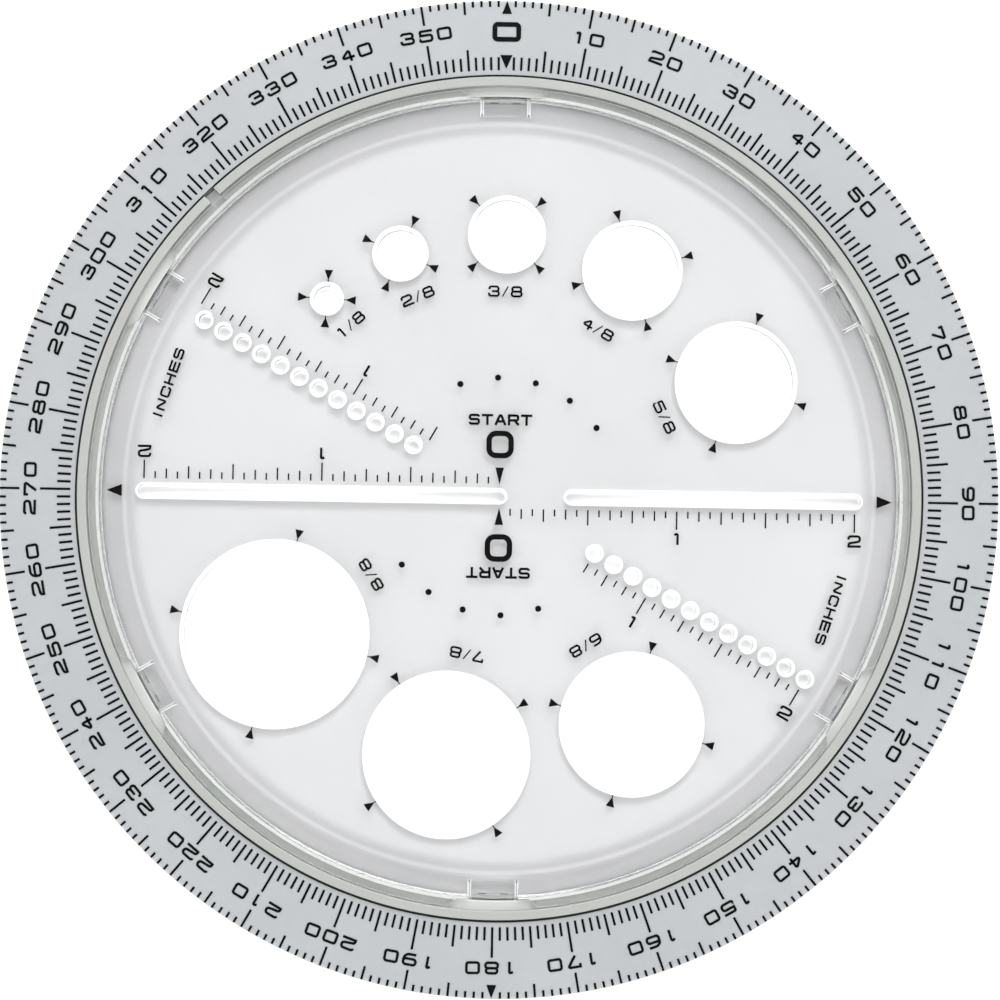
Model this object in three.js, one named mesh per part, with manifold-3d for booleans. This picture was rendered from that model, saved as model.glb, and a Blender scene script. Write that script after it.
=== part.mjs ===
// Rotating angle and circle template: a protractor ring, a split bearing ring that
// snaps into the protractor ring's bore, and a clear template disc that turns in it.
//
// Millimetres, +Z up. The origin is on the rest plane, on the axis that the disc
// turns about. The zero mark of the ring lies on +Y. Directions are clock angles:
// degrees clockwise from +Y, as the protractor counts them.
import * as THREE from "three";
import { mergeVertices } from "three/addons/utils/BufferGeometryUtils.js";
import Module from "manifold-3d";

const wasm = await Module();
wasm.setup();

// ---- driving dimensions -------------------------------------------------------

const INCH = 25.4;
const GAP = 0.3; // clearance between neighbouring pieces
const PAST = 1.0; // how far a cutter runs past the face it cuts
const OVERLAP = 0.1; // how far joined forms run into each other

// protractor ring
const RING_RADIUS = 71.3;
const RING_BORE = 60.4;
const RING_HEIGHT = 2.8;
const RING_BEVEL = 0.3;
const GROOVE_DEPTH = 0.5;
const RIB_BOTTOM = 1.1; // the bearing ring's rib, which sits in the bore's groove
const RIB_TOP = 1.7;

// bearing ring
const BEARING_RADIUS = RING_BORE - GAP;
const BEARING_BORE = 58.9;
const BEARING_HEIGHT = 3.4;
const BEARING_BEVEL = 0.15;
const LEDGE_BORE = 57.5;
const LEDGE_BOTTOM = 1.2;
const LEDGE_TOP = 1.9;
const SPLIT_ANGLE = 315.4;
const SPLIT_WIDTH = 1.8;

// template disc
const DISC_BOTTOM = GAP; // the disc hangs just clear of the paper
const PLATE_THICKNESS = 1.6;
const STEP_DEPTH = 0.15; // the plate's margin lies a little lower than its middle
const STEP_INNER = 52.9;
const STEP_OUTER = 53.7;
const PLATE_TOP = DISC_BOTTOM + PLATE_THICKNESS;
const MARGIN_TOP = PLATE_TOP - STEP_DEPTH;
const WALL_RADIUS = LEDGE_BORE - GAP;
const WALL_HEAD = WALL_RADIUS - 0.1; // the wall slopes from its foot up to its head
const WALL_FOOT = WALL_HEAD - 0.3;
const FLANGE_RADIUS = BEARING_BORE - GAP;
const FLANGE_BOTTOM = LEDGE_TOP + GAP;
const FLANGE_TOP = 2.9;

// snap hooks, under the ledge: each hangs below a notch, on a leg with a pocket behind it
const HOOK_COUNT = 6;
const HOOK_WIDTH = 6.0;
const HOOK_REACH = 58.1;
const HOOK_LEAD_IN = 0.3;
const HOOK_TOP = LEDGE_BOTTOM - GAP;
const HOOK_ROOT = 0.4; // how far a hook's section starts inside its leg
const LEG_WIDTH = 7.2;
const NOTCH_INNER_WIDTH = 10.1;
const NOTCH_OUTER_WIDTH = 12.8;
const NOTCH_START = 56.5;
const POCKET_WIDTH = 6.6;
const POCKET_INNER = 54.9;
const POCKET_OUTER = 56.6;
const POCKET_SKIN = 0.5; // thickness left above a pocket

// circle holes: eighths of an inch, each with room for the pencil point
const PENCIL_ALLOWANCE = 0.5;
const HOLE_ORBIT = 37.6;
const SMALL_HOLES = { eighths: [1, 2, 3, 4, 5], web: 7.1, first: -42 };
const LARGE_HOLES = { eighths: [6, 7, 8], web: 5.6, first: 149 };
const EDGE_CHAMFER = 0.5;

// measuring slots along the 270 to 90 degree line, and their pencil hole rows
const SLOT_WIDTH = 1.8;
const SLOT_CHAMFER = 0.3;
const SCALE_LENGTH = 2 * INCH;
const SHORT_SLOT_START = 10.4;
const ROW_PITCH = INCH / 8;
const ROW_COUNT = 12;
const ROW_STARTS = { upper: (9 / 16) * INCH, lower: (10 / 16) * INCH };
const ROW_TILT = 30;
const PENCIL_HOLE_RADIUS = 0.85;
const PENCIL_HOLE_CHAMFER = 0.5;

// facets in a full turn of each round form
const RING_FACETS = 96;
const DISC_FACETS = 96;
const PENCIL_HOLE_FACETS = 12;
const SLOT_END_FACETS = 16;
const HOLE_FACETS = { fewest: 16, perMillimetre: 2 };

// ---- solids --------------------------------------------------------------------

// A manifold solid from a closed three.js geometry.
function solid(geometry) {
  const bare = geometry.clone();
  bare.deleteAttribute("normal");
  bare.deleteAttribute("uv");
  const merged = mergeVertices(bare);
  const corners = merged.index.array;
  const kept = [];
  for (let i = 0; i < corners.length; i += 3) {
    const [a, b, c] = corners.slice(i, i + 3);
    if (a !== b && b !== c && c !== a) kept.push(a, b, c);
  }
  const vertProperties = new Float32Array(merged.attributes.position.array);
  const triVerts = new Uint32Array(kept);
  return new wasm.Manifold(new wasm.Mesh({ numProp: 3, vertProperties, triVerts }));
}

// A profile of [radius, height] points, anticlockwise, turned about the Z axis.
function turned(profile, facets) {
  const points = profile.map(([radius, height]) => new THREE.Vector2(radius, height));
  const closed = profile[0][0] > 0;
  if (closed) points.push(points[0].clone());
  return solid(new THREE.LatheGeometry(points, facets).rotateX(Math.PI / 2));
}

// A flat outline raised from one height to another. A full arc has two curve
// segments for each one that the geometry is given.
function raised(shape, bottom, top, facets = SLOT_END_FACETS) {
  const options = {
    depth: top - bottom,
    bevelEnabled: false,
    curveSegments: facets / 2,
  };
  return solid(new THREE.ExtrudeGeometry(shape, options).translate(0, 0, bottom));
}

// A cutter for a hole through the centre plate, opening out at the plate's top.
function plateCutter(shape, chamfer, facets) {
  const through = raised(shape, DISC_BOTTOM - PAST, PLATE_TOP + PAST, facets);
  const options = {
    depth: PAST,
    bevelEnabled: true,
    bevelThickness: chamfer + OVERLAP,
    bevelSize: chamfer + OVERLAP,
    bevelOffset: -OVERLAP,
    bevelSegments: 1,
    curveSegments: facets / 2,
  };
  const mouth = new THREE.ExtrudeGeometry(shape, options).translate(0, 0, PLATE_TOP);
  return through.add(solid(mouth));
}

// The same solid turned to a clock angle.
function atClock(body, degrees) {
  return body.rotate([0, 0, -degrees]);
}

// The point at a radius and a clock angle.
function clockPoint(radius, degrees) {
  const angle = THREE.MathUtils.degToRad(degrees);
  return new THREE.Vector2(radius * Math.sin(angle), radius * Math.cos(angle));
}

// Equal clock angles for the hooks.
function hookAngles() {
  return Array.from({ length: HOOK_COUNT }, (_, i) => (i * 360) / HOOK_COUNT);
}

// ---- outlines --------------------------------------------------------------------

function rectangle(xLow, xHigh, yLow, yHigh) {
  const shape = new THREE.Shape();
  shape.moveTo(xLow, yLow);
  shape.lineTo(xHigh, yLow);
  shape.lineTo(xHigh, yHigh);
  shape.lineTo(xLow, yHigh);
  return shape;
}

function circle(centre, radius) {
  return new THREE.Shape().absarc(centre.x, centre.y, radius, 0, 2 * Math.PI, false);
}

// A round-ended slot along X.
function slot(xStart, xEnd) {
  const shape = new THREE.Shape();
  const radius = SLOT_WIDTH / 2;
  shape.absarc(xEnd, 0, radius, -Math.PI / 2, Math.PI / 2, false);
  shape.absarc(xStart, 0, radius, Math.PI / 2, (3 * Math.PI) / 2, false);
  return shape;
}

// The notch above a hook on +Y: as wide as the leg through the wall, then splayed
// through the flange and open outwards.
function notch() {
  const root = WALL_RADIUS + OVERLAP;
  const lean = THREE.MathUtils.radToDeg(Math.asin(NOTCH_INNER_WIDTH / 2 / root));
  const inner = clockPoint(root, lean);
  const rightHalf = [
    [LEG_WIDTH / 2, NOTCH_START],
    [LEG_WIDTH / 2, root * Math.cos(Math.asin(LEG_WIDTH / 2 / root))],
    [inner.x, inner.y],
    [NOTCH_OUTER_WIDTH / 2, FLANGE_RADIUS],
    [NOTCH_OUTER_WIDTH / 2, FLANGE_RADIUS + PAST],
  ];
  const leftHalf = rightHalf.map(([x, y]) => [-x, y]).reverse();
  const corners = [...rightHalf, ...leftHalf].map(([x, y]) => new THREE.Vector2(x, y));
  return new THREE.Shape(corners);
}

// ---- pieces ----------------------------------------------------------------------

function protractorRing() {
  const grooveRadius = RING_BORE + GROOVE_DEPTH;
  return turned(
    [
      [RING_BORE, 0],
      [RING_RADIUS, 0],
      [RING_RADIUS, RING_HEIGHT - RING_BEVEL],
      [RING_RADIUS - RING_BEVEL, RING_HEIGHT],
      [RING_BORE, RING_HEIGHT],
      [RING_BORE, RIB_TOP + GAP],
      [grooveRadius, RIB_TOP + GAP],
      [grooveRadius, RIB_BOTTOM - GAP],
      [RING_BORE, RIB_BOTTOM - GAP],
    ],
    RING_FACETS,
  );
}

function bearingRing() {
  const ribRadius = RING_BORE + GROOVE_DEPTH - GAP;
  const shoulder = BEARING_HEIGHT - BEARING_BEVEL;
  const ring = turned(
    [
      [BEARING_BORE, 0],
      [BEARING_RADIUS, 0],
      [BEARING_RADIUS, RIB_BOTTOM],
      [ribRadius, RIB_BOTTOM],
      [ribRadius, RIB_TOP],
      [BEARING_RADIUS, RIB_TOP],
      [BEARING_RADIUS, shoulder],
      [BEARING_RADIUS - BEARING_BEVEL, BEARING_HEIGHT],
      [BEARING_BORE + BEARING_BEVEL, BEARING_HEIGHT],
      [BEARING_BORE, shoulder],
      [BEARING_BORE, LEDGE_TOP],
      [LEDGE_BORE, LEDGE_TOP],
      [LEDGE_BORE, LEDGE_BOTTOM],
      [BEARING_BORE, LEDGE_BOTTOM],
    ],
    RING_FACETS,
  );
  const half = SPLIT_WIDTH / 2;
  const outline = rectangle(-half, half, LEDGE_BORE - PAST, ribRadius + PAST);
  const split = raised(outline, -PAST, BEARING_HEIGHT + PAST);
  return ring.subtract(atClock(split, SPLIT_ANGLE));
}

// The turned body of the disc: plate, lower margin, wall and flange.
function discBlank() {
  return turned(
    [
      [0, DISC_BOTTOM],
      [WALL_RADIUS, DISC_BOTTOM],
      [WALL_RADIUS, FLANGE_BOTTOM],
      [FLANGE_RADIUS, FLANGE_BOTTOM],
      [FLANGE_RADIUS, FLANGE_TOP],
      [WALL_HEAD, FLANGE_TOP],
      [WALL_FOOT, MARGIN_TOP],
      [STEP_OUTER, MARGIN_TOP],
      [STEP_INNER, PLATE_TOP],
      [0, PLATE_TOP],
    ],
    DISC_FACETS,
  );
}

// A ring with the hooks' section, which each hook takes a short length of.
function hookBand() {
  const root = WALL_RADIUS - HOOK_ROOT;
  return turned(
    [
      [root, DISC_BOTTOM + OVERLAP],
      [WALL_RADIUS - OVERLAP, DISC_BOTTOM + OVERLAP],
      [HOOK_REACH, DISC_BOTTOM + HOOK_LEAD_IN],
      [HOOK_REACH, HOOK_TOP],
      [root, HOOK_TOP],
    ],
    DISC_FACETS,
  );
}

// Adds the hooks, and cuts the pocket from below and the notch from above at each.
function withHooks(disc) {
  const half = HOOK_WIDTH / 2;
  const reach = raised(rectangle(-half, half, 0, HOOK_REACH + PAST), 0, FLANGE_TOP);
  const hook = hookBand().intersect(reach);
  const pocketHalf = POCKET_WIDTH / 2;
  const pocketOutline = rectangle(-pocketHalf, pocketHalf, POCKET_INNER, POCKET_OUTER);
  const pocketCut = raised(pocketOutline, DISC_BOTTOM - PAST, MARGIN_TOP - POCKET_SKIN);
  const notchCut = raised(notch(), MARGIN_TOP, FLANGE_TOP + PAST);
  let body = disc;
  for (const degrees of hookAngles()) {
    body = body.add(atClock(hook, degrees));
    body = body.subtract(atClock(pocketCut, degrees));
    body = body.subtract(atClock(notchCut, degrees));
  }
  return body;
}

function holeRadius(eighths) {
  return ((eighths * INCH) / 8 + PENCIL_ALLOWANCE) / 2;
}

// Centres of a run of holes that have the same web of plastic between their edges.
function holeRun({ eighths, web, first }) {
  let degrees = first;
  return eighths.map((size, i) => {
    if (i > 0) {
      const apart = holeRadius(eighths[i - 1]) + web + holeRadius(size);
      degrees += THREE.MathUtils.radToDeg(2 * Math.asin(apart / 2 / HOLE_ORBIT));
    }
    return { radius: holeRadius(size), centre: clockPoint(HOLE_ORBIT, degrees) };
  });
}

function circleHoles() {
  return [SMALL_HOLES, LARGE_HOLES].flatMap(holeRun).map(({ radius, centre }) => {
    const facets = HOLE_FACETS.fewest + HOLE_FACETS.perMillimetre * Math.round(radius);
    return plateCutter(circle(centre, radius), EDGE_CHAMFER, facets);
  });
}

function slots() {
  const long = plateCutter(slot(-SCALE_LENGTH, 0), SLOT_CHAMFER, SLOT_END_FACETS);
  const short = plateCutter(
    slot(SHORT_SLOT_START, SCALE_LENGTH),
    SLOT_CHAMFER,
    SLOT_END_FACETS,
  );
  return [long, short];
}

// A row of pencil holes, an eighth of an inch apart, along one clock angle.
function pencilRow(start, degrees) {
  return Array.from({ length: ROW_COUNT }, (_, i) => {
    const centre = clockPoint(start + i * ROW_PITCH, degrees);
    const outline = circle(centre, PENCIL_HOLE_RADIUS);
    return plateCutter(outline, PENCIL_HOLE_CHAMFER, PENCIL_HOLE_FACETS);
  });
}

function templateDisc() {
  const cutters = [
    ...circleHoles(),
    ...slots(),
    ...pencilRow(ROW_STARTS.upper, 270 + ROW_TILT),
    ...pencilRow(ROW_STARTS.lower, 90 + ROW_TILT),
  ];
  return cutters.reduce((body, cutter) => body.subtract(cutter), withHooks(discBlank()));
}

// ---- assembly --------------------------------------------------------------------

const milkyWhite = new THREE.MeshStandardMaterial({ color: 0xced4d7, roughness: 0.4 });
const cream = new THREE.MeshStandardMaterial({ color: 0xcccecb, roughness: 0.5 });
const clear = new THREE.MeshStandardMaterial({
  color: 0xe9ecee,
  roughness: 0.08,
  transparent: true,
  opacity: 0.35,
});

function piece(name, body, material) {
  const { vertProperties, triVerts } = body.getMesh();
  const geometry = new THREE.BufferGeometry();
  geometry.setAttribute("position", new THREE.BufferAttribute(vertProperties, 3));
  geometry.setIndex(new THREE.BufferAttribute(triVerts, 1));
  geometry.computeVertexNormals();
  const mesh = new THREE.Mesh(geometry, material);
  mesh.name = name;
  return mesh;
}

const circleTemplate = new THREE.Group();
circleTemplate.add(piece("protractor_ring", protractorRing(), milkyWhite));
circleTemplate.add(piece("bearing_ring", bearingRing(), cream));
circleTemplate.add(piece("template_disc", templateDisc(), clear));

export default circleTemplate;
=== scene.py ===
"""Looks of a rotating angle and circle template: a milky protractor ring, a cream split
bearing ring in its bore, and a clear disc of circle holes and slots that turns in it.

Shapes are drawn in millimetres and scaled to metres when a piece is made. Directions on
the object are clock angles: degrees clockwise from +Y, as the protractor counts them.
"""
import math

import bmesh
import bpy
from mathutils import Matrix, Vector


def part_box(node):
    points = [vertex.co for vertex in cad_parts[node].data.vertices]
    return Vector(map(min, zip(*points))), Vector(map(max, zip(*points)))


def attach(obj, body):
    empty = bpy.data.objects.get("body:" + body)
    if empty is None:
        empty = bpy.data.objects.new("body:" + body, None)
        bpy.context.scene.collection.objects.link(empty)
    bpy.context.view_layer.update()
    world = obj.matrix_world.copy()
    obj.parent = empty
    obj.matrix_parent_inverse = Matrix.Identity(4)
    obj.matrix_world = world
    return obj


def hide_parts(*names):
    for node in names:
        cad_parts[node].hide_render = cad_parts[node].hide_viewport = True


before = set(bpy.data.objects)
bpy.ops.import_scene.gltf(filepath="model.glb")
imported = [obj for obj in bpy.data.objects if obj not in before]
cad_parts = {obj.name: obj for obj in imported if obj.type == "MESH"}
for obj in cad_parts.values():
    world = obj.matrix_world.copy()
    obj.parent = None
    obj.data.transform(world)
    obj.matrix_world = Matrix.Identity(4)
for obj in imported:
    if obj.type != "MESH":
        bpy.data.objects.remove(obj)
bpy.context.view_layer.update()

MM = 0.001
INCH = 25.4
WHOLE_TURN = 360.0
PAST = 1.0  # how far a cutter runs past the face it cuts
OVERLAP = 0.1  # how far joined forms run into each other


def extent(node):
    """A CAD node's outer radius, bottom and top, in millimetres."""
    low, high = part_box(node)
    return high.x / MM, low.z / MM, high.z / MM


# ---- dimensions, from the frame's radii and heights --------------------------------

RING_RADIUS, RING_BOTTOM, RING_TOP = extent("protractor_ring")
RIB_RADIUS, BEARING_BOTTOM, BEARING_TOP = extent("bearing_ring")
FLANGE_RADIUS, DISC_BOTTOM, FLANGE_TOP = extent("template_disc")

# bearing ring: its rib sits in a groove of the protractor ring's bore
BEARING_RADIUS = RIB_RADIUS - 0.45
BEARING_BORE = FLANGE_RADIUS + 0.25
LEDGE_BORE = FLANGE_RADIUS - 1.1
LEDGE_BOTTOM = 1.2
LEDGE_TOP = 1.9
RIB_MIDDLE = 1.4
RIB_HEIGHT = 0.6
SPLIT_ANGLE = 315.4
SPLIT_WIDTH = 1.8
RING_BORE = BEARING_RADIUS + 0.3
GROOVE_RADIUS = RIB_RADIUS + 0.2
GROOVE_HEIGHT = 0.9

# template disc: a plate whose margin lies a little lower, a wall, and a flange
PLATE_THICKNESS = 1.6
PLATE_TOP = DISC_BOTTOM + PLATE_THICKNESS
STEP_INNER = 52.9
STEP_OUTER = 53.9
MARGIN_TOP = PLATE_TOP - 0.1
WALL_RADIUS = LEDGE_BORE - 0.25
WALL_HEAD = WALL_RADIUS - 0.1
WALL_FOOT = WALL_HEAD - 0.3
WALL_CHAMFER = 0.4
FLANGE_BOTTOM = LEDGE_TOP + 0.3

# snap hooks: each hangs below a notch, on a leg with a pocket behind it
HOOK_COUNT = 6
HOOK_WIDTH = 6.0
HOOK_REACH = LEDGE_BORE + 0.7
HOOK_TOP = LEDGE_BOTTOM - 0.3
HOOK_ANGLES = [i * WHOLE_TURN / HOOK_COUNT for i in range(HOOK_COUNT)]
LEG_WIDTH = 7.2
NOTCH_INNER_WIDTH = 10.1
NOTCH_OUTER_WIDTH = 12.8
NOTCH_START = 56.5
NOTCH_FLARE = 1.6  # how much wider the notch's mouth is on each side
NOTCH_EASE = 0.14  # how far its upper edge is taken off
POCKET_WIDTH = 6.2
POCKET_INNER = 54.9
POCKET_OUTER = 56.6
POCKET_SKIN = 0.5  # plastic left over the pocket

# fine marks of the moulding: slits over a pocket, grooves beside it, a core's trace
SLIT_WIDTH = 1.2
SLIT_START = 56.45
SLIT_END = 56.65
SLIT_DEPTH = 0.35
SLIT_SPACING = 3.1
SIDE_GROOVE_WIDTH = 0.52
SIDE_GROOVE_FLOOR = 0.08
SIDE_GROOVE_DEPTH = 0.2
TRACE_WIDTH = 1.3
TRACE_LENGTH = 0.25
TRACE_DEPTH = 0.06
EJECTOR_ANGLE = 345
EJECTOR_RADIUS = 0.55
EJECTOR_DEPTH = 0.04
INDEX_ANGLES = (90, 270)
INDEX_WIDTH = 0.2
INDEX_DEPTH = 0.12

# holes in the plate
HOLE_ORBIT = 37.6
PENCIL_ALLOWANCE = 0.5
SMALL_HOLES = {"eighths": (1, 2, 3, 4, 5), "web": 7.1, "first": -42}
LARGE_HOLES = {"eighths": (6, 7, 8), "web": 5.6, "first": 149}
HOLE_CHAMFER = 0.62
SLOT_WIDTH = 1.8
SLOT_CHAMFER = 0.3
SCALE_LENGTH = 2 * INCH
SHORT_SLOT_START = 10.4
ROW_PITCH = INCH / 8
ROW_COUNT = 12
UPPER_ROW = {"start": 9 / 16 * INCH, "angle": 300}
LOWER_ROW = {"start": 10 / 16 * INCH, "angle": 120}
PENCIL_HOLE_RADIUS = 0.85
PENCIL_HOLE_CHAMFER = 0.5

# print
INK_HEIGHT = 0.02
INK_SINK = 0.01
TICK_WIDTH = 0.33
HAIRLINE = 0.15

# fineness of round forms
RING_SEGMENTS = 720
DISC_SEGMENTS = 360
HOLE_SEGMENTS = 144
PENCIL_HOLE_SEGMENTS = 48
DOT_SEGMENTS = 24
HOOK_SEGMENTS = 12
ARC_STEP = math.radians(12)
SHARP_ANGLE = math.radians(35)


# ---- outlines ----------------------------------------------------------------------


def clock_point(radius, degrees):
    """The (x, y) at a radius and a clock angle."""
    angle = math.radians(degrees)
    return radius * math.sin(angle), radius * math.cos(angle)


def arc(centre, radius, start, end):
    """Points on an arc between two anticlockwise angles from +X, in degrees."""
    sweep = math.radians(end - start)
    steps = max(2, math.ceil(abs(sweep) / ARC_STEP))
    angles = [math.radians(start) + sweep * i / steps for i in range(steps + 1)]
    return [(centre[0] + radius * math.cos(a), centre[1] + radius * math.sin(a)) for a in angles]


def rounded(corners, closed=True):
    """A path through (x, y, radius) corners, each rounded to its radius."""
    points = []
    for i, (x, y, radius) in enumerate(corners):
        at_end = not closed and i in (0, len(corners) - 1)
        if radius == 0 or at_end:
            points.append((x, y))
            continue
        here = Vector((x, y))
        back = (Vector(corners[i - 1][:2]) - here).normalized()
        ahead = (Vector(corners[(i + 1) % len(corners)][:2]) - here).normalized()
        half = back.angle(ahead) / 2
        centre = here + (back + ahead).normalized() * (radius / math.sin(half))
        spoke = here + back * (radius / math.tan(half)) - centre
        turns_left = back.y * ahead.x > back.x * ahead.y
        turn = (math.pi - 2 * half) * (1 if turns_left else -1)
        steps = max(2, math.ceil(abs(turn) / ARC_STEP))
        for k in range(steps + 1):
            angle = turn * k / steps
            points.append(
                (
                    centre.x + spoke.x * math.cos(angle) - spoke.y * math.sin(angle),
                    centre.y + spoke.x * math.sin(angle) + spoke.y * math.cos(angle),
                )
            )
    return points


def rectangle(x_low, x_high, y_low, y_high, radius=0.0):
    """A rectangle's outline, its corners rounded to a radius."""
    corners = ((x_low, y_low), (x_high, y_low), (x_high, y_high), (x_low, y_high))
    return rounded([(x, y, radius) for x, y in corners])


# ---- shapes: vertices and faces of closed forms --------------------------------------


def prism(outline, bottom, top):
    """A flat outline raised from one height to another."""
    n = len(outline)
    verts = [(x, y, z) for z in (bottom, top) for x, y in outline]
    sides = [(i, (i + 1) % n, n + (i + 1) % n, n + i) for i in range(n)]
    return verts, [tuple(reversed(range(n))), tuple(range(n, 2 * n)), *sides]


def stacked(layers):
    """A form through outlines of equal point count at rising heights."""
    n = len(layers[0][1])
    verts = [(x, y, z) for z, outline in layers for x, y in outline]
    last = (len(layers) - 1) * n
    faces = [tuple(reversed(range(n))), tuple(range(last, last + n))]
    for k in range(len(layers) - 1):
        for i in range(n):
            j = (i + 1) % n
            faces.append((k * n + i, k * n + j, (k + 1) * n + j, (k + 1) * n + i))
    return verts, faces


def lathe(profile, segments, start=0.0, sweep=WHOLE_TURN):
    """A closed profile of (radius, height) turned about Z, from a clock angle on."""
    whole = sweep == WHOLE_TURN
    columns = segments if whole else segments + 1
    verts = []
    for i in range(columns):
        for radius, height in profile:
            verts.append((*clock_point(radius, start + sweep * i / segments), height))
    n = len(profile)
    faces = []
    for i in range(segments):
        here = i * n
        there = (i + 1) % columns * n
        for j in range(n):
            k = (j + 1) % n
            if profile[j][0] or profile[k][0]:
                faces.append((here + j, here + k, there + k, there + j))
    if not whole:
        last = segments * n
        faces += [tuple(range(n)), tuple(reversed(range(last, last + n)))]
    return verts, faces


def ribbon(path, closed, width):
    """A stroke of print: a flat band of even width along a path."""
    left, right = [], []
    count = len(path)
    for i, (x, y) in enumerate(path):
        before = path[i - 1] if closed or i > 0 else path[i]
        after = path[(i + 1) % count] if closed or i < count - 1 else path[i]
        arriving = (Vector((x, y)) - Vector(before)).normalized()
        leaving = (Vector(after) - Vector((x, y))).normalized()
        along = (arriving + leaving).normalized()
        straight = along.dot(leaving if leaving.length else arriving)
        reach = width / 2 / max(straight, 0.5)
        left.append((x - along.y * reach, y + along.x * reach))
        right.append((x + along.y * reach, y - along.x * reach))
    verts = [(px, py, z) for z in (0, INK_HEIGHT) for side in (left, right) for px, py in side]
    faces = []
    for i in range(count if closed else count - 1):
        j = (i + 1) % count
        for a, b in ((0, 1), (1, 3), (3, 2), (2, 0)):
            faces.append((a * count + i, b * count + i, b * count + j, a * count + j))
    if not closed:
        ends = (0, count - 1)
        faces += [(e, count + e, 3 * count + e, 2 * count + e) for e in ends]
    return verts, faces


def moved(shape, matrix):
    """The shape, moved by a matrix."""
    verts, faces = shape
    return [tuple(matrix @ Vector(v)) for v in verts], faces


def merged(shapes):
    """Several shapes as one."""
    verts, faces = [], []
    for shape_verts, shape_faces in shapes:
        base = len(verts)
        verts += shape_verts
        faces += [tuple(base + i for i in face) for face in shape_faces]
    return verts, faces


def at_clock(shape, degrees):
    """A shape drawn on +Y, turned to a clock angle."""
    return moved(shape, Matrix.Rotation(-math.radians(degrees), 4, "Z"))


# ---- mesh objects ----------------------------------------------------------------------


def mesh_object(name, shape):
    """An object of a closed shape, with its faces pointing out."""
    mesh = bpy.data.meshes.new(name)
    verts, faces = shape
    mesh.from_pydata(verts, [], faces)
    bm = bmesh.new()
    bm.from_mesh(mesh)
    bmesh.ops.remove_doubles(bm, verts=bm.verts, dist=1e-5)
    bmesh.ops.recalc_face_normals(bm, faces=bm.faces)
    bm.to_mesh(mesh)
    bm.free()
    obj = bpy.data.objects.new(name, mesh)
    bpy.context.scene.collection.objects.link(obj)
    return obj


def bake_modifiers(obj):
    """Makes an object's modifiers part of its mesh."""
    evaluated = obj.evaluated_get(bpy.context.evaluated_depsgraph_get())
    obj.data = bpy.data.meshes.new_from_object(evaluated)
    obj.modifiers.clear()


def combine(target, shape, operation):
    """Joins a shape to the target, or cuts it away."""
    tool = mesh_object("tool", shape)
    modifier = target.modifiers.new("combine", "BOOLEAN")
    modifier.operation = operation
    modifier.solver = "MANIFOLD"
    modifier.object = tool
    bake_modifiers(target)
    bpy.data.objects.remove(tool)


def finish_piece(obj, body, material):
    """Scales a piece to metres, shades it, and puts it on its body."""
    obj.data.transform(Matrix.Scale(MM, 4))
    obj.data.materials.clear()
    obj.data.materials.append(material)
    obj.data.shade_smooth()
    obj.data.set_sharp_from_angle(angle=SHARP_ANGLE)
    weighted = obj.modifiers.new("weighted_normals", "WEIGHTED_NORMAL")
    weighted.keep_sharp = True
    weighted.weight = 100
    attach(obj, body)
    return obj


# ---- materials ---------------------------------------------------------------------------


WHOLE = (0.0, 1.0)
FLAT = (0.87, 0.97)  # levelness from which a face turns from slanted to flat
STEEP = (0.4, 0.5)  # levelness from which a face turns from steep to slanted
PAINTED_FADE = 0.1  # how far painted shade from the gap between the rings reaches onto them; also how wide the ledge's painted light fades in
MARGIN_FADE = 51.4  # where the plate's tone starts to turn into the margin's painted shade


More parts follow.
